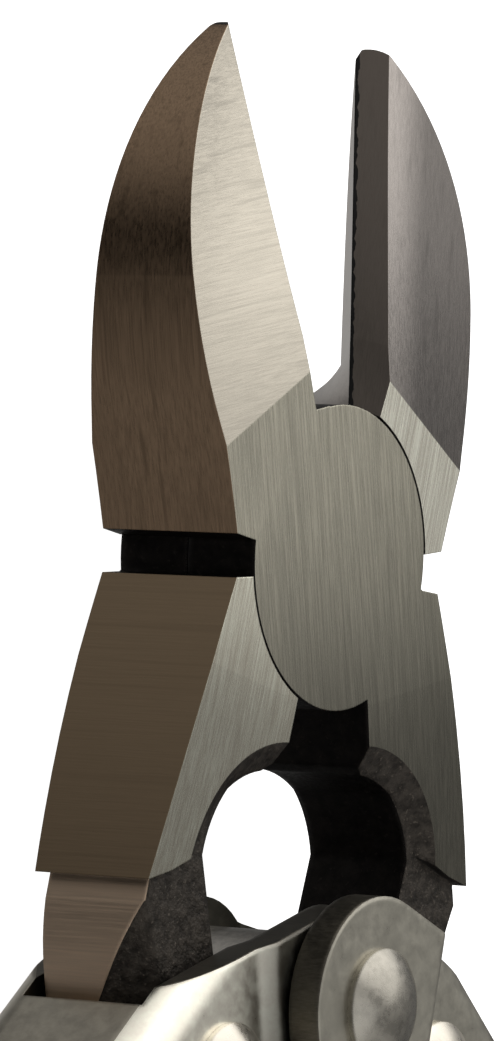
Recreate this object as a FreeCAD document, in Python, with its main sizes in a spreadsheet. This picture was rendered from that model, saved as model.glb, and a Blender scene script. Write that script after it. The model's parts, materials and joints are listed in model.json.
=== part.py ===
"""Compound-action diagonal cutting pliers, drawn fully open.

Frame: the origin is where the head pivot's axis meets the back face of the joint.
+Z points out of the front face, +Y runs along the tool to the jaw tips, +X is to the
right seen from the front.

Each jaw half is one forging: a jaw, half of the lap joint and the arm on the other
side, which thins to a tongue.  Each handle is a folded steel channel that turns on a
tongue, and the ears of the two channels meet on the centre rivet.  The halves and the
handles are drawn as they lie with the jaws shut, and their placements open them.
"""
import FreeCAD, Part
import math
import os
import re

import Sketcher
from FreeCAD import Placement, Rotation, Vector

DIMENSIONS = {
    # joint and jaws
    "joint_thickness": 11.6,
    "lap_gap": 0.1,
    "disc_radius": 11.0,
    "disc_clearance": 0.22,
    "jaw_reach": 38.7,
    "throat_height": 11.05,
    "edge_gap": 0.05,
    "edge_height": 12.03,
    "edge_fall": 0.1815,
    "open_angle": 12.4,
    # arms
    "tongue_thickness": 8.5,
    "arm_end_thickness": 9.72,
    "eye_radius": 4.6,
    "arm_pivot_x": 5.155,
    "arm_pivot_drop": 39.43,
    "scallop_radius": 11.2,
    "scallop_slope": 1.5,
    "scallop_drop": 25.8,
    # head pivot pin
    "pin_radius": 4.0,
    "pin_head_radius": 5.2,
    "pin_head_height": 1.8,
    "pin_end_cover": 2.6,
    "running_clearance": 0.05,
    # handle channels
    "handle_open_angle": 49.6,
    "shell_width": 15.2,
    "sheet_thickness": 2.5,
    "bend_radius": 3.0,
    "web_x": 8.9,
    "web_top": -2.3,
    # ears
    "ear_x": -4.56,
    "ear_y": 13.84,
    "right_ear_radius": 7.9,
    "left_ear_radius": 7.0,
    "left_hole_radius": 4.1,
    "left_shift_front": 0.7,
    "left_shift_rear": -0.5,
    "ear_gap": 0.35,
    "joggle_angle": 59.6,
    # rivets, washers and bush
    "rivet_radius": 2.5,
    "rivet_head_radius": 4.2,
    "front_head_height": 1.9,
    "rear_head_height": 1.3,
    "head_rim": 0.45,
    "washer_radius": 4.3,
    "washer_clearance": 0.1,
    "bush_radius": 4.9,
    "bush_clearance": 0.3,
    # grips
    "core_half_depth": 9.6,
    "core_rounding": 4.0,
    "cover_half_depth": 11.3,
    "cover_rounding": 5.5,
}

FAR = 60.0  # longer than any piece is wide, for cutters that must pass right through
LEFT = -1
RIGHT = 1
FRONT = 1
REAR = -1

doc = FreeCAD.newDocument("pliers")


# ---------------------------------------------------------------- sheet

def make_sheet():
    sheet = doc.addObject("Spreadsheet::Sheet", "Sheet")
    for row, (alias, number) in enumerate(DIMENSIONS.items(), start=1):
        sheet.set(f"A{row}", alias.replace("_", " "))
        sheet.set(f"B{row}", str(number))
        sheet.setAlias(f"B{row}", alias)
    doc.recompute()
    return sheet


sheet = make_sheet()


def with_sheet(expression):
    def prefix(match):
        word = match.group(0)
        return f"Sheet.{word}" if word in DIMENSIONS else word
    return re.sub(r"[A-Za-z_]+", prefix, expression)


def value(expression):
    """Number that an expression of sheet aliases stands for now."""
    return float(sheet.evalExpression(with_sheet(expression)))


def bind(target, prop, expression):
    target.setExpression(prop, with_sheet(expression))


# ---------------------------------------------------------------- profiles

def arc_between(first, middle, last):
    """Arc through three points, whether it turns left, and the direction it arrives in."""
    centre = Part.Circle(first, middle, last).Center
    leftward = (middle - first).cross(last - middle).z > 0
    begin, finish = (first, last) if leftward else (last, first)
    from_angle = math.atan2(begin.y - centre.y, begin.x - centre.x)
    to_angle = math.atan2(finish.y - centre.y, finish.x - centre.x)
    whole = Part.Circle(centre, Vector(0, 0, 1), centre.distanceToPoint(first))
    out = (last - centre).normalize()
    arriving = Vector(-out.y, out.x, 0) if leftward else Vector(out.y, -out.x, 0)
    return Part.ArcOfCircle(whole, from_angle, to_angle), leftward, arriving


def smooth_middle(first, last, leaving):
    """Middle point of the arc that leaves the first point in a given direction."""
    chord = last - first
    swing = math.atan2(leaving.cross(chord).z, leaving.dot(chord))
    outward = Vector(chord.y, -chord.x, 0) * 0.5
    return (first + last) * 0.5 + outward * math.tan(swing / 2)


def outline(sketch, start, steps):
    """Closed profile.

    A step is (end) for a line, (middle, end) for an arc, or (None, end) for an arc
    that runs on smoothly from the step before it.
    """
    here = Vector(*start, 0)
    direction = None
    joints = []
    for step in steps + [(start,)]:
        end = Vector(*step[-1], 0)
        if here.distanceToPoint(end) < 1e-6:
            continue
        if len(step) == 1:
            index = sketch.addGeometry(Part.LineSegment(here, end), False)
            joints.append((index, 1, 2))
            direction = (end - here).normalize()
        else:
            middle = Vector(*step[0], 0) if step[0] else smooth_middle(here, end, direction)
            arc, leftward, direction = arc_between(here, middle, end)
            index = sketch.addGeometry(arc, False)
            joints.append((index, 1, 2) if leftward else (index, 2, 1))
        here = end
    for (index, _, last), (following, first, _) in zip(joints, joints[1:] + joints[:1]):
        sketch.addConstraint(Sketcher.Constraint("Coincident", index, last, following, first))


def flipped(side, point):
    return (side * point[0], point[1]) if point else None


def side_outline(sketch, side, start, steps):
    """Profile given for the right side, drawn on either side."""
    outline(sketch, flipped(side, start),
            [tuple(flipped(side, point) for point in step) for step in steps])


def rounded_polygon(sketch, corners):
    """Closed profile of straight sides, each corner given as x, y, radius."""
    points = [Vector(x, y, 0) for x, y, _ in corners]
    steps = []
    for index, (_, _, radius) in enumerate(corners):
        here = points[index]
        back = (points[index - 1] - here).normalize()
        ahead = (points[(index + 1) % len(points)] - here).normalize()
        if radius == 0:
            steps.append(((here.x, here.y),))
            continue
        half = back.getAngle(ahead) / 2
        first = here + back * (radius / math.tan(half))
        last = here + ahead * (radius / math.tan(half))
        middle = here + (back + ahead).normalize() * (radius / math.sin(half) - radius)
        steps.append(((first.x, first.y),))
        steps.append(((middle.x, middle.y), (last.x, last.y)))
    outline(sketch, steps[-1][-1], steps)


def circle(sketch, radius, x="0", y="0"):
    """Circle whose radius and centre follow the sheet."""
    shape = Part.Circle(Vector(value(x), value(y), 0), Vector(0, 0, 1), value(radius))
    index = sketch.addGeometry(shape, False)
    number = sketch.addConstraint(Sketcher.Constraint("Radius", index, value(radius)))
    bind(sketch, f"Constraints[{number}]", radius)
    if (x, y) == ("0", "0"):
        sketch.addConstraint(Sketcher.Constraint("Coincident", index, 3, -1, 1))
        return
    for kind, expression in (("DistanceX", x), ("DistanceY", y)):
        distance = Sketcher.Constraint(kind, -1, 1, index, 3, value(expression))
        bind(sketch, f"Constraints[{sketch.addConstraint(distance)}]", expression)


def on_circle(centre, radius, degrees):
    angle = math.radians(degrees)
    return (centre[0] + radius * math.cos(angle), centre[1] + radius * math.sin(angle))


def touch_angle(centre, radius, point, turn):
    """Angle at which a line from a point touches a circle; turn picks the side."""
    run, rise = point[0] - centre[0], point[1] - centre[1]
    return math.degrees(math.atan2(rise, run) + turn * math.acos(radius / math.hypot(run, rise)))


# ---------------------------------------------------------------- body features

def new_body(label):
    body = doc.addObject("PartDesign::Body", label)
    body.Label = label
    return body


def sketch_on(body, role, height="0"):
    """Sketch on one of the body's own planes, moved along that plane's normal."""
    plane = next(item for item in body.Origin.OriginFeatures if item.Role == role)
    sketch = body.newObject("Sketcher::SketchObject", "Sketch")
    sketch.AttachmentSupport = [(plane, "")]
    sketch.MapMode = "FlatFace"
    bind(sketch, "AttachmentOffset.Base.z", height)
    return sketch


def pad(body, sketch, length):
    feature = body.newObject("PartDesign::Pad", "Pad")
    feature.Profile = sketch
    bind(feature, "Length", length)
    doc.recompute()
    return feature


def must_cut(body, feature, before):
    doc.recompute()
    if body.Shape.Volume >= before:
        raise RuntimeError(f"{feature.Name} of {body.Label} cuts nothing")


def pocket(body, sketch, length, upward=False, symmetric=False):
    """Cut towards the sketch's back, or its front when upward."""
    before = body.Shape.Volume
    feature = body.newObject("PartDesign::Pocket", "Pocket")
    feature.Profile = sketch
    feature.Reversed = upward
    feature.Midplane = symmetric
    bind(feature, "Length", length)
    must_cut(body, feature, before)


def loft_cut(body, sections):
    """Straight-sided cut through a row of sketches."""
    before = body.Shape.Volume
    feature = body.newObject("PartDesign::SubtractiveLoft", "LoftCut")
    feature.Profile = sections[0]
    feature.Sections = sections[1:]
    feature.Ruled = True
    must_cut(body, feature, before)


def revolve(body, kind, sketch):
    """Revolution or Groove once round the sketch's own vertical axis."""
    feature = body.newObject(f"PartDesign::{kind}", kind)
    feature.Profile = sketch
    feature.ReferenceAxis = (sketch, ["V_Axis"])
    feature.Angle = 360
    doc.recompute()


# ---------------------------------------------------------------- jaw halves

def lap(body, face):
    """Half disc of the joint, in the front or the rear layer."""
    half = "(joint_thickness - lap_gap) / 2"
    disc = sketch_on(body, "XY_Plane", f"joint_thickness - {half}" if face == FRONT else "0")
    circle(disc, "disc_radius")
    pad(body, disc, half)


def lap_clearance(body, face):
    """The other layer is cleared for the other half's disc."""
    half = "(joint_thickness - lap_gap) / 2"
    cleared = sketch_on(body, "XY_Plane", f"joint_thickness - {half}" if face == FRONT else half)
    circle(cleared, "disc_radius + disc_clearance")
    pocket(body, cleared, "joint_thickness", upward=(face == REAR))


def jaw_blank(body, side):
    """Full-thickness jaw, cutting edge along the Y axis, back shaped by two arcs."""
    reach = value("jaw_reach")
    inner = value("edge_gap")
    sketch = sketch_on(body, "XY_Plane")
    side_outline(sketch, side, (6.0, 1.35), [
        ((12.79, 3.92),),
        ((13.14, 7.96), (13.617, 12.0)),
        ((13.98, 18.5), (13.705, 22.3)),
        (None, (2.6, reach - 0.1)),
        ((1.2, reach + 0.12), (inner, reach - 0.5)),
        ((inner, 8.0),),
    ])
    pad(body, sketch, "joint_thickness")


def arm_blank(body, side):
    """Full-thickness arm, scalloped to clear the ears that swing behind it."""
    scallop = (0.0, -value("scallop_drop"))
    root = value("scallop_radius - scallop_slope")
    sketch = sketch_on(body, "XY_Plane")
    side_outline(sketch, side, (2.25, -6.0), [
        ((8.0, -2.0),),
        ((10.39, -4.19),),
        ((12.40, -4.79),),
        ((14.13, -16.08), (15.16, -27.30)),
        ((12.75, -26.1),),
        (on_circle(scallop, root, 11.0),),
        (on_circle(scallop, root, 35.0), on_circle(scallop, root, 72.0)),
        ((2.25, -15.85),),
    ])
    pad(body, sketch, "joint_thickness")


def arm_tapers(body, side):
    """Both faces of the arm thin from the joint to the arm's end."""
    thickness = value("joint_thickness")
    loss = (thickness - value("arm_end_thickness")) / 2
    for level, inward in ((0.0, 1), (thickness, -1)):
        wedge = sketch_on(body, "YZ_Plane", f"{side} * 20")
        outline(wedge, (-11.2, level), [
            ((-19.3, level + inward * 0.36 * loss), (-27.4, level + inward * loss)),
            ((-29.0, level + inward * loss),),
            ((-29.0, level - inward * 2),),
            ((-11.2, level - inward * 2),),
        ])
        pocket(body, wedge, "40", symmetric=True)


def tongue(body, side):
    """Thinner end of the arm, with the eye for the handle's rivet."""
    eye = (value("arm_pivot_x"), -value("arm_pivot_drop"))
    radius = value("eye_radius")
    sketch = sketch_on(body, "XY_Plane", "(joint_thickness - tongue_thickness) / 2")
    side_outline(sketch, side, (3.3, -15.0), [
        ((3.4, -16.0),),
        ((7.1, -19.4), (8.35, -24.0)),
        (on_circle(eye, radius, 150),),
        (on_circle(eye, radius, 240), on_circle(eye, radius, -25)),
        ((12.9, -33.7),),
        (None, (14.2, -29.0)),
        ((14.2, -24.0),),
        ((11.5, -15.0),),
    ])
    pad(body, sketch, "tongue_thickness")


def tongue_slope(body, side):
    """The outer front edge of the tongue slopes away where the arm's side runs out over it."""
    middle = value("joint_thickness") / 2
    sections = []
    for y, outer, inner in ((-26.0, (15.1, 5.64), (12.6, 8.0)), (-36.0, (11.83, 0.06), (9.3, 4.25))):
        section = sketch_on(body, "XZ_Plane", f"{-y}")
        side_outline(section, side, (inner[0], middle + inner[1]), [
            ((outer[0], middle + outer[1]),),
            ((outer[0] + 3.0, middle + outer[1]),),
            ((outer[0] + 3.0, middle + inner[1]),),
        ])
        sections.append(section)
    loft_cut(body, sections)


def scallop_slopes(body):
    """The faces of the arm slope down to the tongue round the swinging ears."""
    half = value("tongue_thickness") / 2
    middle = value("joint_thickness") / 2
    root = value("scallop_radius - scallop_slope")
    run = 2 * value("scallop_slope")
    rise = 2.1
    for face in (FRONT, REAR):
        sketch = sketch_on(body, "XZ_Plane", "scallop_drop")
        outline(sketch, (0, middle + face * half), [
            ((root, middle + face * half),),
            ((root + run, middle + face * (half + rise)),),
            ((0, middle + face * (half + rise)),),
        ])
        revolve(body, "Groove", sketch)


def jaw_tapers(body, side):
    """Front and back of the jaw thin towards the tip, a little more on the inside."""
    middle = value("joint_thickness") / 2
    beyond = middle + 4
    inner_run = ((15.3, middle), (27.6, 2.75), (43.0, -0.95))
    outer_run = ((9.7, middle), (24.0, 4.05), (43.0, 2.70))
    for face in (FRONT, REAR):
        sections = []
        for x, run in ((-2.0, inner_run), (15.0, outer_run)):
            section = sketch_on(body, "YZ_Plane", f"{side} * {x}")
            begin, through, finish = [(y, middle + face * height) for y, height in run]
            outline(section, begin, [
                (through, finish),
                ((finish[0], middle + face * beyond),),
                ((begin[0], middle + face * beyond),),
            ])
            sections.append(section)
        loft_cut(body, sections)


def jaw_bevels(body, side):
    """Narrow front bevel and wide rear bevel that meet in the cutting edge."""
    top = value("joint_thickness") + 2
    bottom = -2.0
    inner = value("edge_gap")
    sections = []
    for y, front_slope, rear_slope in (
            (value("throat_height"), 1.15, 0.3),
            (16.5, 1.04, 1.42),
            (value("jaw_reach") + 1, 1.44, 1.3)):
        edge = value("edge_height") - value("edge_fall") * y
        section = sketch_on(body, "XZ_Plane", f"{-y}")
        side_outline(section, side, (-1.0, top), [
            ((inner + front_slope * (top - edge), top),),
            ((inner, edge),),
            ((inner + rear_slope * (edge - bottom), bottom),),
            ((-1.0, bottom),),
        ])
        sections.append(section)
    loft_cut(body, sections)


def pin_seat(body, face):
    """Blind hole for the pressed pin in the front half, running hole in the rear half."""
    sketch = sketch_on(body, "XY_Plane", "joint_thickness - pin_end_cover")
    if face == FRONT:
        circle(sketch, "pin_radius")
        pocket(body, sketch, "joint_thickness")
        return
    circle(sketch, "pin_radius + running_clearance")
    pocket(body, sketch, "joint_thickness")
    counterbore = sketch_on(body, "XY_Plane", "pin_head_height + running_clearance")
    circle(counterbore, "pin_head_radius + running_clearance")
    pocket(body, counterbore, "joint_thickness")


def jaw_half(label, side, face):
    """One forging: its jaw on one side, its arm on the other, its disc in one layer."""
    body = new_body(label)
    lap(body, face)
    jaw_blank(body, side)
    arm_blank(body, -side)
    lap_clearance(body, face)
    arm_tapers(body, -side)
    scallop_slopes(body)
    tongue(body, -side)
    tongue_slope(body, -side)
    jaw_tapers(body, side)
    jaw_bevels(body, side)
    pin_seat(body, face)
    eye = sketch_on(body, "XY_Plane", "joint_thickness")
    circle(eye, "rivet_radius + running_clearance", f"{-side} * arm_pivot_x", "-arm_pivot_drop")
    pocket(body, eye, "joint_thickness")
    bind(body, "Placement.Rotation.Yaw", f"{-side} * open_angle")
    return body


def head_pivot_pin():
    """Pressed blind into the front half; its head lies flush in the rear half."""
    body = new_body("head_pivot_pin")
    shank = value("pin_radius")
    head = value("pin_head_radius")
    neck = value("pin_head_height")
    top = value("joint_thickness - pin_end_cover")
    chamfer = 0.4
    sketch = sketch_on(body, "XZ_Plane")
    outline(sketch, (0, 0), [
        ((head, 0),),
        ((head, neck),),
        ((shank, neck),),
        ((shank, top - chamfer),),
        ((shank - chamfer, top),),
        ((0, top),),
    ])
    revolve(body, "Revolution", sketch)
    return body


# ---------------------------------------------------------------- rivets, washers, bush

def put_on_handle(piece, side):
    """Handle pieces are drawn about the arm rivet, the middle of the tool at z = 0."""
    bind(piece, "Placement.Base.x",
         f"{side} * (arm_pivot_x * cos(open_angle) + arm_pivot_drop * sin(open_angle))")
    bind(piece, "Placement.Base.y",
         "arm_pivot_x * sin(open_angle) - arm_pivot_drop * cos(open_angle)")
    bind(piece, "Placement.Base.z", "joint_thickness / 2")
    bind(piece, "Placement.Rotation.Yaw", f"{side} * handle_open_angle")


def cap_middle(rim_radius, height):
    """Half way up a spherical cap's section: distance from the axis, drop from the top."""
    sphere = (rim_radius ** 2 + height ** 2) / (2 * height)
    half = math.asin(rim_radius / sphere) / 2
    return sphere * math.sin(half), sphere * (1 - math.cos(half))


def rivet(label, side, front_level, rear_level, at_ear=False):
    """Domed rivet through everything between two levels."""
    body = new_body(label)
    sketch = sketch_on(body, "XZ_Plane", "-ear_y" if at_ear else "0")
    if at_ear:
        bind(sketch, "AttachmentOffset.Base.x", f"{side} * ear_x")
    shank = value("rivet_radius")
    head = value("rivet_head_radius")
    rim = value("head_rim")
    tall = value("front_head_height")
    low = value("rear_head_height")
    front_middle, front_drop = cap_middle(head, tall - rim)
    rear_middle, rear_drop = cap_middle(head, low - rim)
    outline(sketch, (0, rear_level - low), [
        ((rear_middle, rear_level - low + rear_drop), (head, rear_level - rim)),
        ((head, rear_level),),
        ((shank, rear_level),),
        ((shank, front_level),),
        ((head, front_level),),
        ((head, front_level + rim),),
        ((front_middle, front_level + tall - front_drop), (0, front_level + tall)),
    ])
    revolve(body, "Revolution", sketch)
    put_on_handle(body, side)
    return body


def ring(label, side, radii, level, height, at_ear=False):
    """Washer or bush about the arm rivet or the centre rivet."""
    body = new_body(label)
    sketch = sketch_on(body, "XY_Plane", level)
    for radius in radii:
        if at_ear:
            circle(sketch, radius, f"{side} * ear_x", "ear_y")
        else:
            circle(sketch, radius)
    pad(body, sketch, height)
    put_on_handle(body, side)
    return body


def arm_washers(name, side):
    """One washer each side of the tongue, inside the channel."""
    inside = "shell_width / 2 - sheet_thickness"
    radii = ("rivet_radius + running_clearance", "washer_radius")
    height = f"{inside} - tongue_thickness / 2 - 2 * washer_clearance"
    front = ring(f"{name}_arm_washer_front", side, radii,
                 "tongue_thickness / 2 + washer_clearance", height)
    rear = ring(f"{name}_arm_washer_rear", side, radii,
                f"washer_clearance - ({inside})", height)
    return [front, rear]


# ---------------------------------------------------------------- handle channels

def extrusion(sketch, name, low, height):
    """Solid over a sketch in the XY plane, from a low level up."""
    feature = doc.addObject("Part::Extrusion", name)
    feature.Base = sketch
    feature.DirMode = "Custom"
    feature.Dir = Vector(0, 0, 1)
    feature.Solid = True
    bind(feature, "LengthFwd", height)
    bind(feature, "Placement.Base.z", low)
    return feature


def boolean(kind, name, base, tool):
    feature = doc.addObject(f"Part::{kind}", name)
    feature.Base = base
    feature.Tool = tool
    return feature


def flat_sketch(name):
    return doc.addObject("Sketcher::SketchObject", name)


def shell_outline(side, radius):
    """Flat outline of a channel: ear, shoulder, waist and bowed grip length."""
    ear = (value("ear_x"), value("ear_y"))
    web = value("web_x")
    shoulder = (web, -0.5)
    heel = (-4.8, 4.0)
    outer_touch = touch_angle(ear, radius, shoulder, 1)
    inner_touch = touch_angle(ear, radius, heel, -1)
    sketch = flat_sketch("ShellOutline")
    side_outline(sketch, side, on_circle(ear, radius, outer_touch), [
        (shoulder,),
        ((web, -12.0),),
        (None, (13.2, -42.0)),
        (None, (17.2, -122.0)),
        ((12.2, -125.0), (7.2, -122.0)),
        ((10.6, -84.0), (3.2, -44.0)),
        (None, (-4.8, -9.0)),
        (heel,),
        (on_circle(ear, radius, inner_touch),),
        (on_circle(ear, radius, 108.0), on_circle(ear, radius, outer_touch)),
    ])
    return sketch


def shell_cavity(side):
    """Hollow of the channel: a sheet's thickness inside the web, open on the inside."""
    web = value("web_x - sheet_thickness")
    top = value("web_top")
    sketch = flat_sketch("ShellCavity")
    side_outline(sketch, side, (web, top), [
        ((web, -12.0),),
        (None, (10.8, -42.8)),
        (None, (14.75, -122.0)),
        ((14.75, -140.0),),
        ((-30.0, -140.0),),
        ((-30.0, 30.0),),
        ((30.0, 30.0),),
        ((30.0, top),),
    ])
    return sketch


def web_edges(shape, side):
    """Numbers of the long edges where the plates turn into the web."""
    half = value("shell_width") / 2
    found = []
    for number, edge in enumerate(shape.Edges, start=1):
        point = edge.valueAt((edge.FirstParameter + edge.LastParameter) / 2)
        flat = edge.BoundBox.ZLength < 1e-6 and abs(abs(point.z) - half) < 1e-6
        inner_limit = value("web_x") - 0.5 if point.y > -60 else 15.0
        if flat and point.y < -1 and side * point.x > inner_limit:
            found.append(number)
    return found


def across_joggle(side, sketch, name):
    """Solid that carries a section of the joggle right across the channel.

    The section's x runs from the centre pivot down the joggle, its y out of the front.
    """
    angle = math.radians(value("joggle_angle"))
    along = Vector(side * math.cos(angle), -math.sin(angle), 0)
    forward = Vector(0, 0, 1)
    centre = Vector(side * value("ear_x"), value("ear_y"), 0)
    sketch.Placement = Placement(centre, Rotation(along, forward, along.cross(forward), "XYZ"))
    feature = doc.addObject("Part::Extrusion", name)
    feature.Base = sketch
    feature.DirMode = "Normal"
    feature.Symmetric = True
    feature.LengthFwd = 2 * FAR
    feature.Solid = True
    return feature


def ear_zone(side, end):
    """Everything on the ear's side of the joggle's foot."""
    sketch = flat_sketch("EarZone")
    outline(sketch, (end, 20), [((-FAR, 20),), ((-FAR, -20),), ((end, -20),)])
    return across_joggle(side, sketch, "EarCut")


def joggled_strip(side, face, shift, ramp):
    """Sheet that runs at ear level, down a ramp and on at the plate's own level."""
    start, end, lag = ramp
    rounding = 0.9
    overlap = 1.5
    plate = value("shell_width") / 2
    under = value("shell_width / 2 - sheet_thickness")
    corners = [
        (-20.0, plate + shift, 0),
        (start, plate + shift, rounding),
        (end, plate, rounding),
        (end + lag + overlap, plate, 0),
        (end + lag + overlap, under, 0),
        (end + lag, under, rounding),
        (start + lag, under + shift, rounding),
        (-20.0, under + shift, 0),
    ]
    sketch = flat_sketch("EarSection")
    rounded_polygon(sketch, [(along, face * height, radius) for along, height, radius in corners])
    return across_joggle(side, sketch, "EarStrip")


def bent_block(side, sketch):
    """Outer block of the channel with the bends along its web."""
    block = extrusion(sketch, "ShellBlock", "-shell_width / 2", "shell_width")
    doc.recompute()
    radius = value("bend_radius")
    bent = doc.addObject("Part::Fillet", "ShellBends")
    bent.Base = block
    bent.Edges = [(number, radius, radius) for number in web_edges(block.Shape, side)]
    return bent


def channel(side, ear_radius, shifts, ramp):
    """Folded channel without its rivet holes; ramp is the joggle's start, end and lag."""
    sketch = shell_outline(side, ear_radius)
    hollow = extrusion(shell_cavity(side), "ShellHollow", "sheet_thickness - shell_width / 2",
                       "shell_width - 2 * sheet_thickness")
    folded = boolean("Cut", "ShellFolded", bent_block(side, sketch), hollow)
    plates = boolean("Cut", "ShellPlates", folded, ear_zone(side, ramp[1] + ramp[2]))
    prism = extrusion(sketch, "EarPrism", "-20", "40")
    joined = plates
    for face, shift in zip((FRONT, REAR), shifts):
        strip = joggled_strip(side, face, shift, ramp)
        ear = boolean("Common", "Ear", strip, prism)
        joined = boolean("Fuse", "ShellJoined", joined, ear)
    doc.recompute()
    level = value("shell_width") / 2 + shifts[0]
    if abs(joined.Shape.BoundBox.ZMax - level) > 0.01:
        raise RuntimeError("the front ear is missing from a shell")
    return joined


def handle_shell(label, side, blank, centre_hole):
    """Channel with its two rivet holes, in its place on the arm."""
    holes = flat_sketch("RivetHoles")
    circle(holes, "rivet_radius")
    circle(holes, centre_hole, f"{side} * ear_x", "ear_y")
    drill = extrusion(holes, "RivetDrill", "-20", "40")
    shell = boolean("Cut", label, blank, drill)
    put_on_handle(shell, side)
    return shell


# ---------------------------------------------------------------- grips

def rounded_bar(name, side, start, steps, half_depth, rounding):
    """Bowed bar with its long edges rounded."""
    sketch = flat_sketch("BarOutline")
    side_outline(sketch, side, start, steps)
    block = extrusion(sketch, "BarBlock", f"-{half_depth}", f"2 * {half_depth}")
    doc.recompute()
    radius = value(rounding)
    flat = [number for number, edge in enumerate(block.Shape.Edges, start=1)
            if edge.BoundBox.ZLength < 1e-6]
    bar = doc.addObject("Part::Fillet", name)
    bar.Base = block
    bar.Edges = [(number, radius, radius) for number in flat]
    return bar


def core_bar(side):
    return rounded_bar("CoreBar", side, (12.9, -33.0), [
        ((13.8, -37.5), (15.1, -42.0)),
        ((22.0, -82.0), (19.4, -122.0)),
        (None, (12.4, -128.6)),
        (None, (4.9, -121.6)),
        ((8.4, -84.0), (1.4, -46.0)),
        (None, (-2.4, -33.0)),
    ], "core_half_depth", "core_rounding")


def cover_bar(side):
    return rounded_bar("CoverBar", side, (17.0, -44.0), [
        ((23.6, -84.0), (20.9, -123.0)),
        (None, (12.6, -130.4)),
        (None, (3.3, -122.4)),
        ((6.8, -84.0), (0.3, -48.0)),
    ], "cover_half_depth", "cover_rounding")


def grip(name, side, blank):
    """Hard core moulded round the channel, and the soft cover moulded round the core."""
    core_space = core_bar(side)
    core = boolean("Cut", f"{name}_grip_core", core_space, blank)
    cover = boolean("Cut", f"{name}_grip_cover", cover_bar(side), core_space)
    for piece in (core, cover):
        put_on_handle(piece, side)
    return [core, cover]


# ---------------------------------------------------------------- assembly

def centre_bush():
    """Keeps the left ears apart; it turns with the centre rivet."""
    inside = "shell_width / 2 - sheet_thickness"
    return ring("centre_bush", RIGHT, ("rivet_radius + running_clearance", "bush_radius"),
                f"bush_clearance - ({inside} + left_shift_rear)",
                f"2 * ({inside}) + left_shift_front + left_shift_rear - 2 * bush_clearance",
                at_ear=True)


def handles():
    """Both handles; the right ears lie outside the left ones on the centre rivet."""
    half = value("shell_width") / 2
    step = value("sheet_thickness + ear_gap")
    left_shifts = (value("left_shift_front"), value("left_shift_rear"))
    right_shifts = tuple(shift + step for shift in left_shifts)
    left = channel(LEFT, value("left_ear_radius"), left_shifts, (8.3, 10.0, 0.0))
    right = channel(RIGHT, value("right_ear_radius"), right_shifts, (7.4, 10.0, 0.8))
    made = [
        handle_shell("left_handle_shell", LEFT, left, "left_hole_radius"),
        handle_shell("right_handle_shell", RIGHT, right, "rivet_radius"),
        rivet("left_arm_rivet", LEFT, half, -half),
        rivet("right_arm_rivet", RIGHT, half, -half),
        rivet("centre_rivet", RIGHT, half + right_shifts[0], -half - right_shifts[1], at_ear=True),
        centre_bush(),
    ]
    for name, side, blank in (("left", LEFT, left), ("right", RIGHT, right)):
        made += arm_washers(name, side)
        made += grip(name, side, blank)
    return made


def check(pieces):
    for item in doc.Objects:
        if "Invalid" in item.State or "Error" in item.State:
            raise RuntimeError(f"{item.Label} failed: {item.State}")
    for piece in pieces:
        if piece.Shape.isNull() or not piece.Shape.isValid():
            raise RuntimeError(f"{piece.Label} has no valid shape")
        if len(piece.Shape.Solids) != 1:
            raise RuntimeError(f"{piece.Label} has {len(piece.Shape.Solids)} solids")


def export(pieces):
    os.makedirs("parts", exist_ok=True)
    for piece in pieces:
        piece.Shape.exportStep(f"parts/{piece.Label}.step")
        print(f"{piece.Label}: {piece.Shape.Volume:.1f} mm3")


pieces = [
    jaw_half("front_jaw", LEFT, FRONT),
    jaw_half("rear_jaw", RIGHT, REAR),
    head_pivot_pin(),
] + handles()
doc.recompute()
check(pieces)
export(pieces)
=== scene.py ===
"""Looks of the compound-action cutting pliers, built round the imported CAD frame."""
import json
import math
from collections import namedtuple

import bmesh
import bpy
from mathutils import Matrix, Vector
from mathutils.bvhtree import BVHTree


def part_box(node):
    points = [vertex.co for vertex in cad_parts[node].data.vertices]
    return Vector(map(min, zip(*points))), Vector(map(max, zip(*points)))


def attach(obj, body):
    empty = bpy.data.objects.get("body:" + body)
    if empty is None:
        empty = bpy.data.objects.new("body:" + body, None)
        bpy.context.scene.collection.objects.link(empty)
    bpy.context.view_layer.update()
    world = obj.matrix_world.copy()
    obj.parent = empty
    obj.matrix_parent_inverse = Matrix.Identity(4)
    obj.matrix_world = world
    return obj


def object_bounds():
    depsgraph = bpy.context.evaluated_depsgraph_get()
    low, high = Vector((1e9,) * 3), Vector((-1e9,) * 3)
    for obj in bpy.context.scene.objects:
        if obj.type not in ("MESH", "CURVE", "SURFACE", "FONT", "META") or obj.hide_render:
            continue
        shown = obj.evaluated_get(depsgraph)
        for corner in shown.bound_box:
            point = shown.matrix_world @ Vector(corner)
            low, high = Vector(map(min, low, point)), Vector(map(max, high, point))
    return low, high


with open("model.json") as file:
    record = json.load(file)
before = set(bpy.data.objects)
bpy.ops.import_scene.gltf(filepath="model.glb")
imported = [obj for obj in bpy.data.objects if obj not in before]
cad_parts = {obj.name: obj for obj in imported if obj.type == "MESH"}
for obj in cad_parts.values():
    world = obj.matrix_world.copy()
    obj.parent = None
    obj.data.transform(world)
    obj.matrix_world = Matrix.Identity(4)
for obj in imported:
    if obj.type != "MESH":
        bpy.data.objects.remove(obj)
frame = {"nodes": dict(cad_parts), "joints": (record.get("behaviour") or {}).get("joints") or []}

cad_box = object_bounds()
scene = bpy.context.scene
MM = 0.001

# ---------------------------------------------------------------- sizes from the frame

joints = {joint["name"]: joint for joint in frame["joints"]}
HEAD_HINGE = joints["head_hinge"]
HEAD_OPEN = math.radians(HEAD_HINGE["range_deg"][1] / 2)
MIDDLE = Vector(HEAD_HINGE["pos_m"]).z
LEFT = -1
RIGHT = 1

# ---------------------------------------------------------------- camera, floor, light

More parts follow.
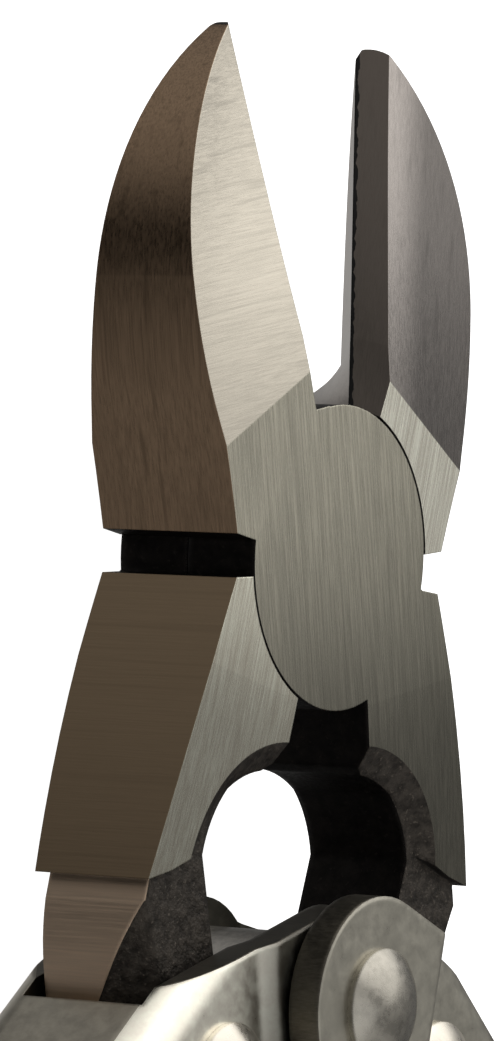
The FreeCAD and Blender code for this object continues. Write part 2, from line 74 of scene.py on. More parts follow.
# The camera stands left of the front's normal and a little towards the handles.
VIEW_LEFT = math.radians(55.92)
VIEW_DOWN = math.radians(1.51)
VIEW_ROLL = math.radians(3.09)
VIEW_DISTANCE = 543.3 * MM
PIVOT_RIGHT_OF_VIEW = 1.72 * MM
PIVOT_BELOW_VIEW = 2.51 * MM
LENS = 260.0
SENSOR = 36.0
CLIP_START = 0.01
CLIP_END = 20

# The gap keeps the lowest faces out of the floor's own plane.
FLOOR_GAP = 0.1 * MM
FLOOR_REACH = 4.0
FLOOR_WHITE = 0.86
FLOOR_GLOW = 0.97

WARM_WHITE = (1.0, 0.985, 0.96)
PURE_WHITE = (1, 1, 1)
KEY_DIRECTION = (0.45, 0.62, 0.64)
TOP_DIRECTION = (-0.15, -0.25, 1.0)

# Each glow: direction, cosine where it starts, cosine where it is full, brightness.
WORLD_GLOWS = (
    ((0.0, 0.0, 1.0), -2.0, -1.5, 0.015),
    (KEY_DIRECTION, 0.50, 0.95, 0.35),
    ((0.95, 0.10, 0.30), 0.60, 1.0, 0.16),
    ((0.35, 0.0, -0.93), 0.72, 0.95, 0.60),
    ((-0.45, 0.85, -0.25), 0.62, 1.0, 0.42),
    ((-0.65, -0.70, -0.30), 0.62, 1.0, 0.26),
    ((0.25, 0.95, 0.20), 0.58, 1.0, 0.70),
    ((0.10, -0.90, 0.45), 0.45, 1.0, 0.60),
    ((-0.60, 0.10, 0.80), 0.50, 1.0, 0.35),
)


def view_axes():
    """Right, up and back of the camera in the row frame."""
    back = Vector((-math.sin(VIEW_LEFT) * math.cos(VIEW_DOWN),
                   -math.sin(VIEW_DOWN),
                   math.cos(VIEW_LEFT) * math.cos(VIEW_DOWN)))
    up = Vector((-math.sin(VIEW_DOWN) * math.sin(VIEW_LEFT),
                 math.cos(VIEW_DOWN),
                 math.sin(VIEW_DOWN) * math.cos(VIEW_LEFT)))
    right = up.cross(back)
    rolled_right = right * math.cos(VIEW_ROLL) + up * math.sin(VIEW_ROLL)
    rolled_up = up * math.cos(VIEW_ROLL) - right * math.sin(VIEW_ROLL)
    return rolled_right, rolled_up, back


def make_camera():
    right, up, back = view_axes()
    data = bpy.data.cameras.new("camera")
    data.lens = LENS
    data.sensor_width = SENSOR
    data.clip_start = CLIP_START
    data.clip_end = CLIP_END
    camera = bpy.data.objects.new("camera", data)
    scene.collection.objects.link(camera)
    place = Vector((0, 0, MIDDLE)) + back * VIEW_DISTANCE
    place += up * PIVOT_BELOW_VIEW - right * PIVOT_RIGHT_OF_VIEW
    axes = Matrix((right, up, back)).transposed().to_4x4()
    camera.matrix_world = Matrix.Translation(place) @ axes
    scene.camera = camera


def make_floor():
    """Pale floor with a glow of its own, which glossy metal doesn't mirror."""
    lowest = cad_box[0].z - FLOOR_GAP
    mesh = bpy.data.meshes.new("floor")
    signs = ((-1, -1), (1, -1), (1, 1), (-1, 1))
    corners = [(x * FLOOR_REACH, y * FLOOR_REACH, lowest) for x, y in signs]
    mesh.from_pydata(corners, [], [(0, 1, 2, 3)])
    floor = bpy.data.objects.new("floor", mesh)
    scene.collection.objects.link(floor)
    nodes = MaterialNodes("floor_white")
    white = (FLOOR_WHITE, FLOOR_WHITE, FLOOR_WHITE, 1)
    diffuse = nodes.add("ShaderNodeBsdfDiffuse", Color=white)
    glow = nodes.add("ShaderNodeEmission", Color=(*PURE_WHITE, 1), Strength=FLOOR_GLOW)
    both = nodes.add("ShaderNodeAddShader")
    nodes.link(diffuse, "BSDF", both, 0)
    nodes.link(glow, "Emission", both, 1)
    nodes.link(both, "Shader", nodes.output, "Surface")
    mesh.materials.append(nodes.material)
    floor.visible_glossy = False


def area_light(name, direction, distance, size, power, colour):
    """Soft box in a direction from the head, turned towards it and never seen itself."""
    data = bpy.data.lights.new(name, "AREA")
    data.shape = "SQUARE"
    data.size = size
    data.energy = power
    data.color = colour
    lamp = bpy.data.objects.new(name, data)
    scene.collection.objects.link(lamp)
    away = Vector(direction).normalized()
    lamp.location = away * distance
    lamp.rotation_mode = "QUATERNION"
    lamp.rotation_quaternion = away.to_track_quat("Z", "Y")
    lamp.visible_camera = False


def make_world():
    """Dim surround with soft glows, each round its own direction."""
    world = bpy.data.worlds.new("studio")
    world.use_nodes = True
    scene.world = world
    nodes = Nodes(world.node_tree, "ShaderNodeOutputWorld")
    direction = nodes.add("ShaderNodeTexCoord")
    total = None
    for aim, start, full, brightness in WORLD_GLOWS:
        nearness = nodes.operate("ShaderNodeVectorMath", "DOT_PRODUCT", Vector(aim).normalized())
        nodes.link(direction, "Generated", nearness, 0)
        glow = nodes.remap(nearness, "Value", (start, full), (0, brightness), smooth=True)
        if total is None:
            total = glow
            continue
        added = nodes.operate("ShaderNodeMath", "ADD")
        nodes.link(total, 0, added, 0)
        nodes.link(glow, 0, added, 1)
        total = added
    background = nodes.add("ShaderNodeBackground", Color=(*WARM_WHITE, 1))
    nodes.link(total, 0, background, "Strength")
    nodes.link(background, 0, nodes.output, "Surface")


# ---------------------------------------------------------------- node trees

# Sockets of a Mix node that mixes colours.
MIX_FACTOR = 0
MIX_FIRST = 6
MIX_SECOND = 7
MIX_RESULT = 2

EDGE_SAMPLES = 4

# The cutting edge starts this high above z = 0 at the pivot and falls towards the tip.
EDGE_HEIGHT = 12.03 * MM
EDGE_FALL = 0.1815

# The dark line along it: colour, noise cells per metre, and how its ragged width varies.
LINE_TONE = (0.01, 0.01, 0.01)
LINE_GRAIN = (900, 900, 900)
LINE_SPREAD = (0.3, 0.6)
LINE_NARROWEST = 0.4


# axis is "X", "Y" or "Z"; the tone is multiplied by 1 at start and by factor at end, both in mm.
# Each ramp darkens a tone towards its end as painted shade.
Fade = namedtuple("Fade", "axis start end factor")


class Nodes:
    """A node tree, with short ways to add and link nodes."""

    def __init__(self, tree, output):
        self.tree = tree
        self.tree.nodes.clear()
        self.output = self.add(output)

    def add(self, kind, **sockets):
        node = self.tree.nodes.new(kind)
        for socket, number in sockets.items():
            node.inputs[socket.replace("_", " ")].default_value = number
        return node

    def link(self, source, out, target, into):
        self.tree.links.new(source.outputs[out], target.inputs[into])

    def operate(self, kind, operation, second=None):
        """A math node; second is the constant in its second socket, where it has one."""
        node = self.tree.nodes.new(kind)
        node.operation = operation
        if second is not None:
            node.inputs[1].default_value = second
        return node

    def remap(self, source, out, given, wanted, smooth=False):
        """A source's values in the given range, stretched to the wanted range."""
        node = self.add("ShaderNodeMapRange", From_Min=given[0], From_Max=given[1],
                        To_Min=wanted[0], To_Max=wanted[1])
        if smooth:
            node.interpolation_type = "SMOOTHSTEP"
        self.link(source, out, node, "Value")
        return node


class MaterialNodes(Nodes):
    """A new material's node tree."""

    def __init__(self, name):
        self.material = bpy.data.materials.new(name)
        self.material.use_nodes = True
        super().__init__(self.material.node_tree, "ShaderNodeOutputMaterial")

    def place(self, turn=0.0, scale=(1, 1, 1)):
        """Object coordinates turned about Z, then scaled."""
        coordinates = self.add("ShaderNodeTexCoord")
        mapping = self.add("ShaderNodeMapping", Rotation=(0, 0, turn))
        self.link(coordinates, "Object", mapping, "Vector")
        stretched = self.operate("ShaderNodeVectorMath", "MULTIPLY", scale)
        self.link(mapping, "Vector", stretched, 0)
        return stretched

    def noise(self, place, detail, roughness=0.6):
        node = self.add("ShaderNodeTexNoise", Scale=1.0, Detail=detail, Roughness=roughness)
        self.link(place, 0, node, "Vector")
        return node

    def feed(self, source, node, socket):
        """Gives a colour socket a constant colour, or the result of a node."""
        if isinstance(source, tuple):
            node.inputs[socket].default_value = (*source, 1)
            return
        out = MIX_RESULT if source.bl_idname == "ShaderNodeMix" else 0
        self.link(source, out, node, socket)

    def blend(self, factor, first, second):
        """Colour mix of two constants or nodes by a factor node."""
        node = self.tree.nodes.new("ShaderNodeMix")
        node.data_type = "RGBA"
        self.link(factor, 0, node, MIX_FACTOR)
        self.feed(first, node, MIX_FIRST)
        self.feed(second, node, MIX_SECOND)
        return node

    def painted_shade_over(self, colour, turn, painted_shade):
        """Colour multiplied by a factor that changes along one axis of the turned frame, as painted
        shade.
        """
        parts = self.add("ShaderNodeSeparateXYZ")
        self.link(self.place(turn), 0, parts, 0)
        reach = (painted_shade.start * MM, painted_shade.end * MM)
        gain = self.remap(parts, painted_shade.axis, reach, (1, painted_shade.factor), smooth=True)
        node = self.tree.nodes.new("ShaderNodeMix")
        node.data_type = "RGBA"
        node.blend_type = "MULTIPLY"
        node.inputs[MIX_FACTOR].default_value = 1
        self.feed(colour, node, MIX_FIRST)
        self.feed(gain, node, MIX_SECOND)
        return node

    def edge_line(self, colour, turn, half_width):
        """A broken dark line along the cutting edge, over the given colour."""
        height = self.operate("ShaderNodeVectorMath", "DOT_PRODUCT", (0, EDGE_FALL, 1))
        self.link(self.place(turn), 0, height, 0)
        offset = self.operate("ShaderNodeMath", "SUBTRACT", EDGE_HEIGHT)
        self.link(height, "Value", offset, 0)
        distance = self.operate("ShaderNodeMath", "ABSOLUTE")
        self.link(offset, 0, distance, 0)
        ragged = self.noise(self.place(turn, LINE_GRAIN), detail=2.0)
        widths = (LINE_NARROWEST * half_width * MM, half_width * MM)
        limit = self.remap(ragged, "Fac", LINE_SPREAD, widths)
        inside = self.operate("ShaderNodeMath", "LESS_THAN")
        self.link(distance, 0, inside, 0)
        self.link(limit, 0, inside, 1)
        return self.blend(inside, colour, LINE_TONE)

    def soft_edges(self, radius):
        node = self.add("ShaderNodeBevel", Radius=radius)
        node.samples = EDGE_SAMPLES
        return node

    def bump(self, height, distance, strength, below):
        """Relief of a noise node's value over the normals of the node below."""
        node = self.add("ShaderNodeBump", Distance=distance, Strength=strength)
        self.link(height, "Fac", node, "Height")
        self.link(below, "Normal", node, "Normal")
        return node

    def finished(self, metallic, colour, roughness, relief):
        """Puts the colour, roughness and relief nodes on the shader; gives the material."""
        shader = self.add("ShaderNodeBsdfPrincipled", Metallic=metallic)
        self.feed(colour, shader, "Base Color")
        self.link(roughness, 0, shader, "Roughness")
        self.link(relief, "Normal", shader, "Normal")
        self.link(shader, "BSDF", self.output, "Surface")
        return self.material


# ---------------------------------------------------------------- materials

# Noise cells per metre: across a fine scratch, along it, and for stains.
FINE = 7000
LONG = 140
STAINS = (160, 160, 160)

# Scratches that run along X, Y and Z.
BRUSHED_X = (LONG, FINE, FINE)
BRUSHED_Y = (FINE, LONG, FINE)
BRUSHED_Z = (FINE, FINE, LONG)

# The parts of a noise's range that spread over a colour mix and over a roughness.
NOISE_BODY = (0.35, 0.65)
NOISE_WIDE = (0.3, 0.7)
WHOLE = (0, 1)

# Brushed steel: SPOTS is the high end of a noise, where deep scratches or stains come, and
# COVER how much of the tone they take. SWING is how far a roughness varies.
COARSE_SHARE = 0.22
SCRATCH_DEPTH = 0.02 * MM
DEEP_CONTRAST = 1.6
DEEP_SPOTS = (0.56, 0.72)
DEEP_COVER = (0, 0.75)
STAIN_SPOTS = (0.50, 0.75)
STAIN_COVER = (0, 0.35)
BRUSHED_SWING = (-0.07, 0.07)

# Forged skin: lumps with painted shade in the hollows between them, and fine pits with painted
# glints.
LUMP_BODY = (0.35, 0.62)
PAINTED_HOLLOW_SHADE = 0.35
LUMP_BUMP = 0.9
PITS_PER_LUMP = 3.2
PIT_DEPTH = 0.3
PIT_BUMP = 0.8
PAINTED_GLINT_SPOTS = (0.60, 0.74)
PAINTED_GLINT_GAIN = 2.2
SCALE_METALLIC = 0.8
FORGED_SWING = (-0.12, 0.15)
FORGED_EDGE = 0.8 * MM

# Moulded grips: broad, weak changes of tone.
GRIP_SWEEP = (60, 60, 60)
GRIP_SHADE = 0.8
GRIP_BUMP = 0.7
GRIP_SWING = (-0.06, 0.08)
GRIP_EDGE = 0.3 * MM


def shade(colour, factor):
    return tuple(min(1.0, channel * factor) for channel in colour)


def around(middle, swing):
    return middle + swing[0], middle + swing[1]


def brushed_steel(name, colour, roughness, grain, turn=0.0, contrast=0.16, bump=0.35, edge=0.12,
                  painted_shade=None, line=None):
    """Metal with fine scratches.

    grain is the number of scratches per metre along X, Y and Z: small along the
    brush's own direction, large across it. contrast is how far light and dark
    streaks differ from the colour, and bump the strength of the relief. edge is
    the radius in mm that edges look rounded to. line is the half width in mm of
    the dark line left along the cutting edge.
    """
    nodes = MaterialNodes(name)
    fine = nodes.noise(nodes.place(turn, grain), detail=4.0, roughness=0.7)
    wide_grain = tuple(count * COARSE_SHARE for count in grain)
    coarse = nodes.noise(nodes.place(turn, wide_grain), detail=2.0)
    stains = nodes.noise(nodes.place(turn, STAINS), detail=3.0)
    dark = shade(colour, 1 - contrast)
    light = shade(colour, 1 + contrast)
    deep = shade(colour, 1 - DEEP_CONTRAST * contrast)
    streaks = nodes.blend(nodes.remap(fine, "Fac", NOISE_BODY, WHOLE), dark, light)
    worn = nodes.blend(nodes.remap(coarse, "Fac", DEEP_SPOTS, DEEP_COVER), streaks, deep)
    tone = nodes.blend(nodes.remap(stains, "Fac", STAIN_SPOTS, STAIN_COVER), worn, dark)
    if painted_shade:
        tone = nodes.painted_shade_over(tone, turn, painted_shade)
    if line:
        tone = nodes.edge_line(tone, turn, line)
    rough = nodes.remap(fine, "Fac", NOISE_WIDE, around(roughness, BRUSHED_SWING))
    relief = nodes.bump(fine, SCRATCH_DEPTH, bump, nodes.soft_edges(edge * MM))
    return nodes.finished(1.0, tone, rough, relief)


def forged_steel(name, colour, roughness, lumps_per_metre, relief):
    """Unground forging: dark scale with a granular, slightly shiny surface, painted shade in its
    hollows and painted glints in its pits.
    """
    nodes = MaterialNodes(name)
    pits_per_metre = PITS_PER_LUMP * lumps_per_metre
    lumps = nodes.noise(nodes.place(0, (lumps_per_metre,) * 3), detail=4.0, roughness=0.62)
    pits = nodes.noise(nodes.place(0, (pits_per_metre,) * 3), detail=2.0)
    heights = nodes.remap(lumps, "Fac", LUMP_BODY, WHOLE)
    # The scale's own colour, with painted shade in the hollows between lumps.
    scale = nodes.blend(heights, shade(colour, PAINTED_HOLLOW_SHADE), colour)
    painted_glints = nodes.remap(pits, "Fac", PAINTED_GLINT_SPOTS, WHOLE)
    tone = nodes.blend(painted_glints, scale, shade(colour, PAINTED_GLINT_GAIN))
    rough = nodes.remap(pits, "Fac", NOISE_WIDE, around(roughness, FORGED_SWING))
    coarse = nodes.bump(lumps, relief * MM, LUMP_BUMP, nodes.soft_edges(FORGED_EDGE))
    granular = nodes.bump(pits, PIT_DEPTH * relief * MM, PIT_BUMP, coarse)
    return nodes.finished(SCALE_METALLIC, tone, rough, granular)


def moulded_plastic(name, colour, roughness, grains_per_metre, relief):
    """Moulded grip: fine spark-eroded texture over a slightly uneven colour."""
    nodes = MaterialNodes(name)
    skin = nodes.noise(nodes.place(0, (grains_per_metre,) * 3), detail=2.0)
    sweep = nodes.noise(nodes.place(0, GRIP_SWEEP), detail=2.0)
    sweeps = nodes.remap(sweep, "Fac", NOISE_BODY, WHOLE)
    tone = nodes.blend(sweeps, shade(colour, GRIP_SHADE), colour)
    rough = nodes.remap(skin, "Fac", NOISE_WIDE, around(roughness, GRIP_SWING))
    uneven = nodes.bump(skin, relief * MM, GRIP_BUMP, nodes.soft_edges(GRIP_EDGE))
    return nodes.finished(0.0, tone, rough, uneven)


def paint_faces(node_name, materials, choose):
    """Gives each face of a CAD node one of the named materials."""
    mesh = frame["nodes"][node_name].data
    names = list(materials)
    mesh.materials.clear()
    for name in names:
        mesh.materials.append(materials[name])
    for face in mesh.polygons:
        face.material_index = names.index(choose(face.center, face.normal))


# ---------------------------------------------------------------- jaw halves

# A jaw half's surfaces in its own closed frame, in mm from the head pivot: the jaw is on the
# left, the arm on the right, and z counts from the middle of the tool.
TONGUE_TOP = -27.5
TONGUE_HALF = 4.6
THROAT_TOP = -12.0
ARM_OUTSIDE = 12.3
ARM_NEAR_DISC = 10
ARM_FRONT_TOP = -4
FACE_HEIGHT = 5.7
DISC_RADIUS = 11.2
DISC_WALL_RADIUS = 11.4
TAPER_START = 9
BEVEL_START = 11.0
BEVEL_OUTSIDE = -12.3
JAW_SIDE_START = 3.9

# How far a normal points along Z, for a level face, a tapering one and a sloping one.
LEVEL = 0.999
NEARLY_LEVEL = 0.97
TAPERING = 0.88
SLOPING = 0.3

# How far a normal points along X, away from the jaw's side.
ARM_SIDE_FACING = 0.8
DISC_SIDE_FACING = 0.5
BEVEL_FACING = 0.25
JAW_SIDE_FACING = -0.3

GROUND_TONE = (0.56, 0.535, 0.44)
ARM_SIDE_TONE = (0.27, 0.20, 0.13)
TONGUE_TONE = (0.72, 0.56, 0.42)
# Walls in the throat and round the disc are painted near black as painted shade.
WALL_PAINTED_SHADE = (0.010, 0.008, 0.007)
FORGED_TONE = (0.066, 0.057, 0.048)
# Ground faces darken from the disc towards the handles as painted shade.
GROUND_PAINTED_SHADE = Fade("Y", 9, -20, 0.30)

# The tones that differ between the halves; the key is the side where the half's jaw is. Both halves
# are one ground steel, so these differences, such as the right half's bright fronts and near black
# bevel, are painted light and shade.
JAW_TONES = {
    LEFT: {
        "jaw_front": GROUND_TONE,
        "arm_front": GROUND_TONE,
        "arm_painted_shade": GROUND_PAINTED_SHADE,
        "taper": (0.60, 0.557, 0.475),
        "taper_grain": BRUSHED_X,
        "taper_painted_shade": Fade("Y", 25, 9, 0.68),
        "jaw_side": (0.34, 0.235, 0.155),
        "bevel": (0.3, 0.28, 0.25),
        "rear_bevel": (0.50, 0.47, 0.44),
    },
    RIGHT: {
        "jaw_front": (0.92, 0.87, 0.75),
        "arm_front": (0.95, 0.885, 0.735),
        "arm_painted_shade": Fade("Y", -3, -16, 0.55),
        "taper": (0.36, 0.33, 0.31),
        "taper_grain": BRUSHED_Y,
        "taper_painted_shade": Fade("X", 2.5, 7.5, 0.42),
        "jaw_side": (0.34, 0.25, 0.18),
        "bevel": (0.066, 0.057, 0.050),
        "rear_bevel": (0.36, 0.335, 0.315),
    },
}


def skin_kind(flat):
    """Forged skin where a face looks to the front or back, and a wall painted near black as painted
    shade where it doesn't.
    """
    return "forged" if flat > SLOPING else "shaded_wall"


def jaw_face_kind(point, normal):
    """Surface of a jaw half at a point of its own closed frame."""
    x, y, z = point
    flat = abs(normal.z)
    from_pivot = math.hypot(x, y)
    outward = normal.x > ARM_SIDE_FACING
    if y < TONGUE_TOP:
        if outward and abs(z) < TONGUE_HALF:
            return "tongue_side"
        return skin_kind(flat)
    if y < THROAT_TOP and (abs(z) < TONGUE_HALF or SLOPING < flat < NEARLY_LEVEL):
        if outward and x > ARM_OUTSIDE:
            return "arm_side"
        return skin_kind(flat)
    if flat > NEARLY_LEVEL and y < ARM_FRONT_TOP:
        return "arm_front" if from_pivot > DISC_RADIUS else "ground"
    if flat > LEVEL and abs(z) > FACE_HEIGHT:
        return "ground" if from_pivot < DISC_RADIUS else "jaw_front"
    if flat > TAPERING and y > TAPER_START:
        return "taper"
    if y > BEVEL_START and x > BEVEL_OUTSIDE and normal.x > BEVEL_FACING:
        return "bevel" if normal.z > 0 else "rear_bevel"
    if from_pivot < DISC_WALL_RADIUS:
        return "shaded_wall"
    if normal.x < JAW_SIDE_FACING and y > JAW_SIDE_START:
        return "jaw_side"
    if x > ARM_NEAR_DISC and normal.x > DISC_SIDE_FACING:
        return "arm_side"
    return "shaded_wall"


def jaw_materials(name, turn, side):
    tones = JAW_TONES[side]
    looks = {
        "ground": dict(colour=GROUND_TONE, roughness=0.27, grain=BRUSHED_Y, painted_shade=GROUND_PAINTED_SHADE),
        "jaw_front": dict(colour=tones["jaw_front"], roughness=0.27, grain=BRUSHED_Y),
        "arm_front": dict(colour=tones["arm_front"], roughness=0.27, grain=BRUSHED_Y,
                          painted_shade=tones["arm_painted_shade"]),
        "taper": dict(colour=tones["taper"], roughness=0.27, grain=tones["taper_grain"],
                      painted_shade=tones["taper_painted_shade"]),
        "jaw_side": dict(colour=tones["jaw_side"], roughness=0.30, grain=BRUSHED_Y, contrast=0.24),
        "arm_side": dict(colour=ARM_SIDE_TONE, roughness=0.34, grain=BRUSHED_Z,
                         contrast=0.08, bump=0.2),
        "tongue_side": dict(colour=TONGUE_TONE, roughness=0.5, grain=BRUSHED_Z,
                            contrast=0.08, bump=0.2, edge=0.5),
        "bevel": dict(colour=tones["bevel"], roughness=0.38, grain=BRUSHED_Y,
                      contrast=0.08, line=0.22),
        "rear_bevel": dict(colour=tones["rear_bevel"], roughness=0.36, grain=BRUSHED_X, line=0.10),
    }
    materials = {kind: brushed_steel(f"{name}_{kind}", turn=turn, **look)
                 for kind, look in looks.items()}
    materials["shaded_wall"] = forged_steel(f"{name}_wall", WALL_PAINTED_SHADE, roughness=0.42,
                                     lumps_per_metre=900, relief=0.03)
    materials["forged"] = forged_steel(f"{name}_forged", FORGED_TONE, roughness=0.5,
                                       lumps_per_metre=1000, relief=0.22)
    return materials


def dress_jaw(node_name, side):
    """side is where the jaw is; the open half is turned back before faces are sorted."""
    turn = side * HEAD_OPEN
    back = Matrix.Rotation(turn, 3, "Z")

    def choose(centre, normal):
        point = back @ Vector((centre.x, centre.y, centre.z - MIDDLE)) / MM
        facing = back @ normal
        point.x *= -side
        facing.x *= -side
        return jaw_face_kind(point, facing)

    paint_faces(node_name, jaw_materials(node_name, turn, side), choose)


# ---------------------------------------------------------------- handles

# Radius of the centre rivet's head, and how far the ears' edges, darkened partly as painted shade,
# reach from its middle.
RIVET_HEAD = 4.2 * MM
EAR_REACH = 16 * MM

# How far a shell's normal points to the front, for its flat faces and for its front plate.
SHEET_LEVEL = 0.5
PLATE_FACING = 0.1

SHEET_GRAIN = (900, 900, 900)
RIVET_GRAIN = (1100, 1100, 1100)
WASHER_GRAIN = (2500, 2500, 2500)
SHEARED_GRAIN = (FINE, FINE, 1500)

# Both shells are one satin sheet steel: the front plates are painted lighter than the webs, and the
# left plate lighter than the right, as painted light and shade.
LEFT_PLATE_LIT_TONE = (0.95, 0.90, 0.79)
# The left plate darkens towards the ear as painted shade in the recess.
LEFT_PLATE_PAINTED_SHADE = Fade("X", -13.0, -7.5, 0.25)
RIGHT_PLATE_LIT_TONE = (0.48, 0.46, 0.395)
WEB_SHADED_TONE = (0.38, 0.355, 0.30)
# The rear plate's inside faces are darkened as painted shade in the channel.
INSIDE_PAINTED_SHADE = (0.09, 0.085, 0.068)
# Sheared edges round the ears: their own dull cut, darkened further as painted shade.
SHEARED_EDGE_AND_SHADE_TONE = (0.13, 0.12, 0.10)
ARM_RIVET_TONE = (0.72, 0.68, 0.60)
CENTRE_RIVET_TONE = (0.40, 0.38, 0.335)
WASHER_TONE = (0.45, 0.43, 0.40)
PIN_TONE = (0.55, 0.52, 0.46)
CORE_TONE = (0.028, 0.028, 0.030)
COVER_TONE = (0.42, 0.035, 0.025)


def dress_shell(node_name, plate_lit_tone, plate_painted_shade):
    """Satin sheet: front plate painted bright as painted light, inside painted dark as painted
    shade, and sheared edges round the ears dark, partly as painted shade.
    """
    rivet = Vector((0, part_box("centre_rivet")[0].y + RIVET_HEAD, 0))
    looks = {
        "plate": dict(colour=plate_lit_tone, roughness=0.34, grain=SHEET_GRAIN,
                      contrast=0.10, bump=0.25, edge=0.55, painted_shade=plate_painted_shade),
        "web": dict(colour=WEB_SHADED_TONE, roughness=0.38, grain=SHEET_GRAIN,
                    contrast=0.12, bump=0.3, edge=0.3),
        "inside": dict(colour=INSIDE_PAINTED_SHADE, roughness=0.45, grain=SHEET_GRAIN, contrast=0.15),
        "edge": dict(colour=SHEARED_EDGE_AND_SHADE_TONE, roughness=0.42, grain=SHEARED_GRAIN,
                     contrast=0.2, edge=0.45),
    }
    materials = {kind: brushed_steel(f"{node_name}_{kind}", **look) for kind, look in looks.items()}

    def choose(centre, normal):
        if centre.z < MIDDLE and normal.z > SHEET_LEVEL:
            return "inside"
        from_rivet = (Vector((centre.x, centre.y, 0)) - rivet).length
        if abs(normal.z) < SHEET_LEVEL and from_rivet < EAR_REACH:
            return "edge"
        return "plate" if normal.z > PLATE_FACING else "web"

    paint_faces(node_name, materials, choose)


def small_part_materials():
    """Materials by the word that a node's name holds or ends with."""
    washer = brushed_steel("washer_plain", WASHER_TONE, roughness=0.35, grain=WASHER_GRAIN,
                           edge=0.05)
    return {
        "arm_rivet": brushed_steel("rivet_peened", ARM_RIVET_TONE, roughness=0.30,
                                   grain=RIVET_GRAIN, contrast=0.10, bump=0.45, edge=0.25),
        "centre_rivet": brushed_steel("rivet_large", CENTRE_RIVET_TONE, roughness=0.28,
                                      grain=RIVET_GRAIN, contrast=0.14, bump=0.6, edge=0.25),
        "washer": washer,
        "bush": washer,
        "pin": brushed_steel("pin_ground", PIN_TONE, roughness=0.33, grain=BRUSHED_Y, edge=0.1),
        "core": moulded_plastic("grip_black", CORE_TONE, roughness=0.48,
                                grains_per_metre=2600, relief=0.03),
        "cover": moulded_plastic("grip_red", COVER_TONE, roughness=0.42,
                                 grains_per_metre=1800, relief=0.04),
    }


def dress_handles():
    dress_shell("left_handle_shell", LEFT_PLATE_LIT_TONE, LEFT_PLATE_PAINTED_SHADE)
    dress_shell("right_handle_shell", RIGHT_PLATE_LIT_TONE, None)
    materials = small_part_materials()
    make_ribs("left", LEFT, materials["cover"])
    make_ribs("right", RIGHT, materials["cover"])
    for name, node in frame["nodes"].items():
        for word, material in materials.items():
            if name.endswith(word) or f"_{word}_" in name:
                node.data.materials.clear()
                node.data.materials.append(material)


# ---------------------------------------------------------------- grip ribs

# How many ribs there are, and the shares of the grip's chord at the first and the last.
RIB_COUNT = 14
RIB_FIRST = 0.14
RIB_LAST = 0.80

# A rib's bar: its radius, how deep it lies, and how much deeper it dips at its ends.
RIB_RADIUS = 1.0 * MM
RIB_SUNK = 0.55 * MM
RIB_DIP = 0.7 * MM
RIB_DIP_POWER = 6
RIB_SPREAD = math.radians(62)
RIB_STEPS = 18
RING_STEPS = 10

# Rays start this far from the grip.
FAR_OUT = 60 * MM


def surface_of(node_name):
    mesh = frame["nodes"][node_name].data
    return BVHTree.FromPolygons([vertex.co for vertex in mesh.vertices],
                                [face.vertices for face in mesh.polygons])


def neighbours(items, index):
    """The items before and after one, or the item itself at the ends."""
    return items[max(index - 1, 0)], items[min(index + 1, len(items) - 1)]


def grip_stations(surface, node_name, side):
    """Middle points along a grip and the directions across it, towards its palm side."""
    low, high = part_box(node_name)
    near = Vector((side * min(abs(low.x), abs(high.x)), high.y, MIDDLE))
    far = Vector((side * max(abs(low.x), abs(high.x)), low.y, MIDDLE))
    chord = (far - near).normalized()
    across = Vector((-chord.y, chord.x, 0)) * side
    middles = []
    for step in range(RIB_COUNT):
        share = RIB_FIRST + (RIB_LAST - RIB_FIRST) * step / (RIB_COUNT - 1)
        place = near.lerp(far, share)
        outer = surface.ray_cast(place + across * FAR_OUT, -across)[0]
        inner = surface.ray_cast(place - across * FAR_OUT, across)[0]
        if outer and inner:
            middles.append((outer + inner) / 2)
    stations = []
    for index, middle in enumerate(middles):
        behind, ahead = neighbours(middles, index)
        along = (ahead - behind).normalized()
        stations.append((middle, Vector((-along.y, along.x, 0)) * side))
    return stations


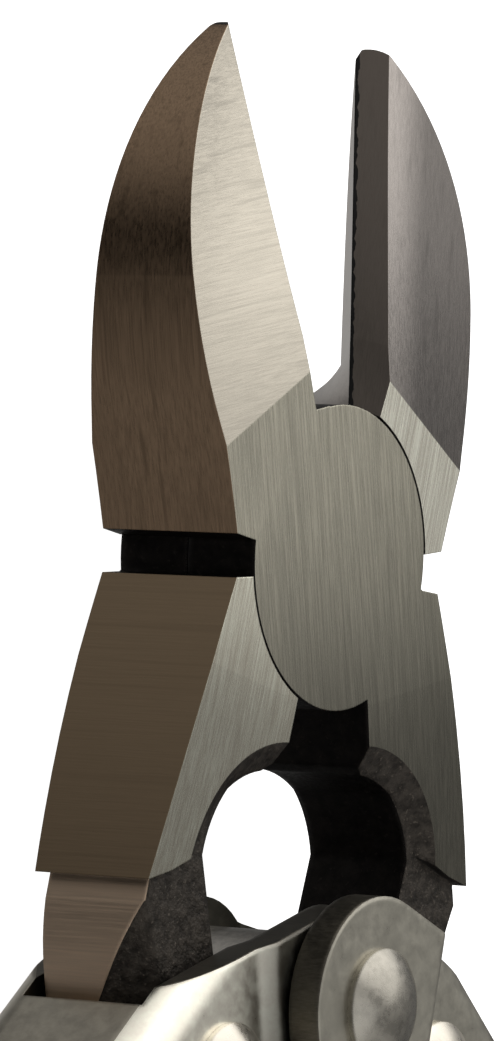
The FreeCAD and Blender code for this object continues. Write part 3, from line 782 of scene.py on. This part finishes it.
def rib_path(surface, middle, outward):
    """Points just under the grip's skin, round its palm side, sinking in at both ends."""
    points = []
    for step in range(RIB_STEPS + 1):
        share = 2 * step / RIB_STEPS - 1
        angle = share * RIB_SPREAD
        ray = outward * math.cos(angle) + Vector((0, 0, math.sin(angle)))
        hit, normal = surface.ray_cast(middle + ray * FAR_OUT, -ray)[:2]
        depth = RIB_SUNK + RIB_DIP * abs(share) ** RIB_DIP_POWER
        points.append(hit - normal * depth)
    return points


def add_tube(mesh, points, radius, axis):
    """Round bar through the points; axis is the direction that all of its rings share."""
    rings = []
    for index, point in enumerate(points):
        behind, ahead = neighbours(points, index)
        level = axis.cross((ahead - behind).normalized()).normalized()
        ring = []
        for turn in range(RING_STEPS):
            angle = 2 * math.pi * turn / RING_STEPS
            spoke = axis * math.cos(angle) + level * math.sin(angle)
            ring.append(mesh.verts.new(point + spoke * radius))
        rings.append(ring)
    for first, second in zip(rings, rings[1:]):
        for turn in range(RING_STEPS):
            following = (turn + 1) % RING_STEPS
            mesh.faces.new((first[turn], first[following], second[following], second[turn]))
    mesh.faces.new(reversed(rings[0]))
    mesh.faces.new(rings[-1])


def make_ribs(name, side, material):
    cover = f"{name}_grip_cover"
    surface = surface_of(cover)
    mesh = bmesh.new()
    for middle, outward in grip_stations(surface, cover, side):
        along = Vector((0, 0, 1)).cross(outward)
        add_tube(mesh, rib_path(surface, middle, outward), RIB_RADIUS, along)
    bmesh.ops.recalc_face_normals(mesh, faces=mesh.faces)
    data = bpy.data.meshes.new(f"{name}_grip_ribs")
    mesh.to_mesh(data)
    mesh.free()
    data.shade_smooth()
    data.materials.append(material)
    ribs = bpy.data.objects.new(f"{name}_grip_ribs", data)
    scene.collection.objects.link(ribs)
    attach(ribs, f"{name}_handle")


# ---------------------------------------------------------------- build

scene.view_settings.view_transform = "Standard"
make_camera()
make_world()
make_floor()
area_light("key_soft_box", KEY_DIRECTION, distance=0.36, size=0.46, power=0.55, colour=WARM_WHITE)
area_light("top_soft_box", TOP_DIRECTION, distance=1.2, size=0.9, power=1.2, colour=PURE_WHITE)
dress_jaw("front_jaw", LEFT)
dress_jaw("rear_jaw", RIGHT)
dress_handles()
